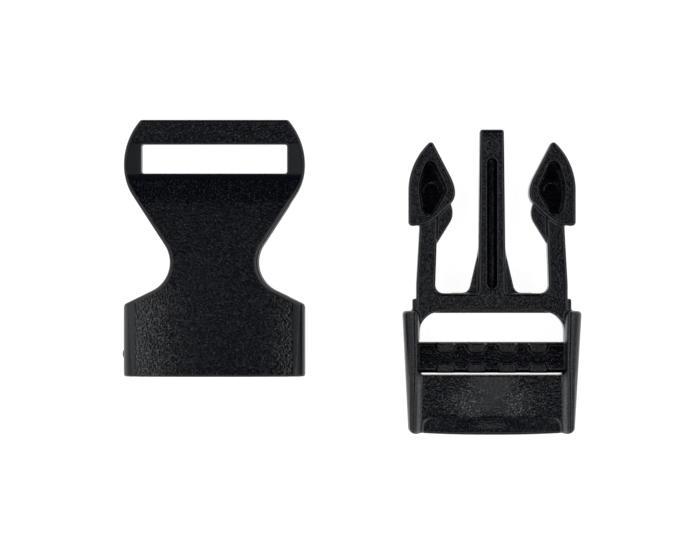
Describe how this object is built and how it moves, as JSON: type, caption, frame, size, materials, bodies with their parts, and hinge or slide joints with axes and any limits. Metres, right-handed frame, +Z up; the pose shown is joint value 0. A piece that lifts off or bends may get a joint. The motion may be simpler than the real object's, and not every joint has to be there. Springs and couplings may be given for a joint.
{
  "type": "side release buckle",
  "caption": "Moulded side release buckle for flat webbing, unfastened: a waisted socket half beside a plug half with sprung hooked arms and an adjusting frame.",
  "frame": {"origin": "on the surface that both halves lie on, at the middle of the whole layout", "axes": "+X from the socket half to the plug half, +Y towards the socket's strap loop and the plug's prong tips, +Z up from the surface"},
  "size_m": [0.0808, 0.0558, 0.009],
  "materials": {
    "moulded_plastic": "black injection-moulded plastic, finely grained faces with a satin sheen and smooth rounded edges"
  },
  "bodies": {
    "root": {"socket_half": "moulded_plastic", "plug_frame": "moulded_plastic"},
    "left_arm": {"left_spring_arm": "moulded_plastic"},
    "right_arm": {"right_spring_arm": "moulded_plastic"}
  },
  "joints": [
    {"name": "left_arm_bend", "type": "hinge", "parent": "root", "child": "left_arm", "pos_m": [0.01295, -0.00135, 0.0045], "axis": [0, 0, -1], "range_deg": [0, 10], "stiffness_Nm_per_rad": 1.5},
    {"name": "right_arm_bend", "type": "hinge", "parent": "root", "child": "right_arm", "pos_m": [0.03665, -0.00135, 0.0045], "axis": [0, 0, 1], "range_deg": [0, 10], "stiffness_Nm_per_rad": 1.5}
  ]
}
